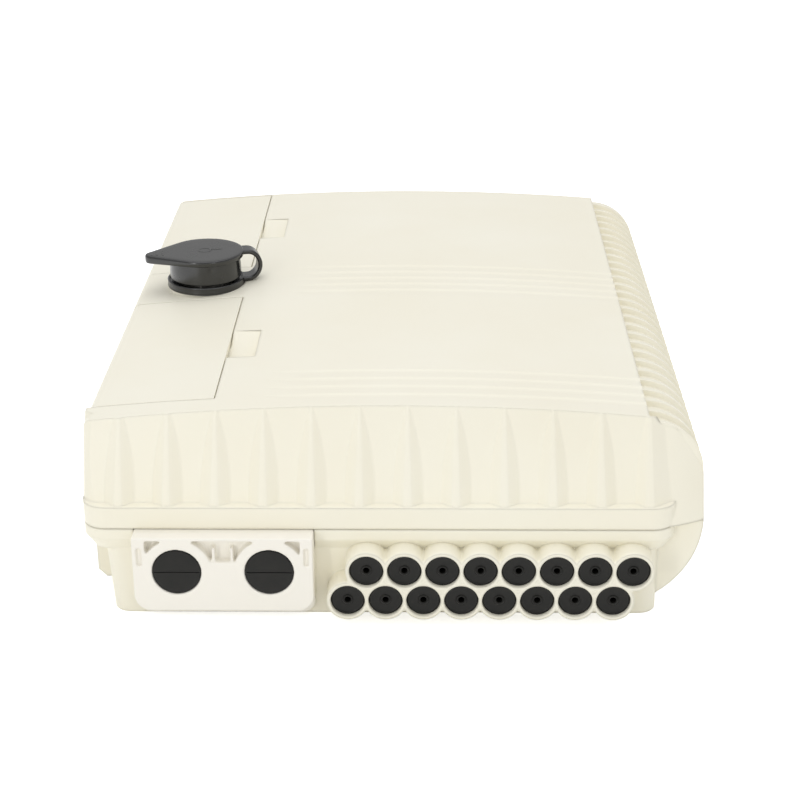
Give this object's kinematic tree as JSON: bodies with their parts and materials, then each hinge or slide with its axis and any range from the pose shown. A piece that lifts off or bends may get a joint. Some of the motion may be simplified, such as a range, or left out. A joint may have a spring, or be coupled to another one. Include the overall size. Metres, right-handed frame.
{
  "type": "fibre optic splice enclosure",
  "caption": "Wall box for fibre splices and connectors: ribbed crowned lid, side latches, capped lock, clamp plate for main cables and rows of rubber-plugged drop ports.",
  "frame": {"origin": "centre of the wall screw pattern, on the flat back face", "axes": "+Z out of the wall, +Y away from the cable entries, +X towards the hinge"},
  "size_m": [0.2404, 0.317, 0.0944],
  "materials": {
    "shell": "moulded, satin",
    "entry_plate": "moulded, satin",
    "black_rubber": "moulded",
    "gasket": "moulded",
    "plated_metal": "nickel plated",
    "pin_steel": "zinc plated",
    "grey_plastic": "moulded",
    "cassette_plastic": "moulded",
    "tray_plastic": "moulded",
    "cover_clear": "clear",
    "adapter_plastic": "moulded"
  },
  "bodies": {
    "base": {"base_shell": "shell", "base_gasket": "gasket", "entry_clamp": "entry_plate", "main_grommet_1": "black_rubber", "main_grommet_2": "black_rubber", "drop_grommet_01": "black_rubber", "drop_grommet_02": "black_rubber", "drop_grommet_03": "black_rubber", "drop_grommet_04": "black_rubber", "drop_grommet_05": "black_rubber", "drop_grommet_06": "black_rubber", "drop_grommet_07": "black_rubber", "drop_grommet_08": "black_rubber", "drop_grommet_09": "black_rubber", "drop_grommet_10": "black_rubber", "drop_grommet_11": "black_rubber", "drop_grommet_12": "black_rubber", "drop_grommet_13": "black_rubber", "drop_grommet_14": "black_rubber", "drop_grommet_15": "black_rubber", "drop_grommet_16": "black_rubber", "latch_pin_front": "pin_steel", "latch_pin_rear": "pin_steel", "hinge_pin_front": "pin_steel", "hinge_pin_rear": "pin_steel", "adapter_panel": "grey_plastic", "adapter_01": "adapter_plastic", "adapter_02": "adapter_plastic", "adapter_03": "adapter_plastic", "adapter_04": "adapter_plastic", "adapter_05": "adapter_plastic", "adapter_06": "adapter_plastic", "adapter_07": "adapter_plastic", "adapter_08": "adapter_plastic", "adapter_09": "adapter_plastic", "adapter_10": "adapter_plastic", "adapter_11": "adapter_plastic", "adapter_12": "adapter_plastic", "adapter_13": "adapter_plastic", "adapter_14": "adapter_plastic", "adapter_15": "adapter_plastic", "adapter_16": "adapter_plastic", "tray_bracket": "grey_plastic", "splice_tray_lower": "tray_plastic", "splice_tray_upper": "tray_plastic", "tray_cover_lower": "cover_clear", "tray_cover_upper": "cover_clear", "splitter_cassette": "cassette_plastic", "cable_clamp_1": "grey_plastic", "cable_clamp_2": "grey_plastic", "clamp_screws": "pin_steel"},
    "lid": {"lid_shell": "shell", "lock_housing": "plated_metal", "lock_nut": "plated_metal", "lock_cap_ring": "black_rubber"},
    "latch_front": {"latch_flap_front": "shell"},
    "latch_rear": {"latch_flap_rear": "shell"},
    "lock_barrel": {"lock_plug": "plated_metal", "lock_cam": "pin_steel"},
    "lock_cap": {"lock_cap": "black_rubber"}
  },
  "joints": [
    {"name": "lid_hinge", "type": "hinge", "parent": "base", "child": "lid", "pos_m": [0.1187, 0, 0.03735], "axis": [0, 1, 0], "range_deg": [0, 110]},
    {"name": "latch_front_pivot", "type": "hinge", "parent": "base", "child": "latch_front", "pos_m": [-0.1149, -0.0683, 0.0076], "axis": [0, -1, 0], "range_deg": [0, 90]},
    {"name": "latch_rear_pivot", "type": "hinge", "parent": "base", "child": "latch_rear", "pos_m": [-0.1149, 0.0873, 0.0076], "axis": [0, -1, 0], "range_deg": [0, 90]},
    {"name": "lock_turn", "type": "hinge", "parent": "lid", "child": "lock_barrel", "pos_m": [-0.087, 0.0095, 0.07828], "axis": [0, 0, 1], "range_deg": [0, 90]},
    {"name": "cap_hinge", "type": "hinge", "parent": "lid", "child": "lock_cap", "pos_m": [-0.06158, 0.01584, 0.08673], "axis": [-0.2419, 0.9703, 0], "range_deg": [0, 150]}
  ]
}
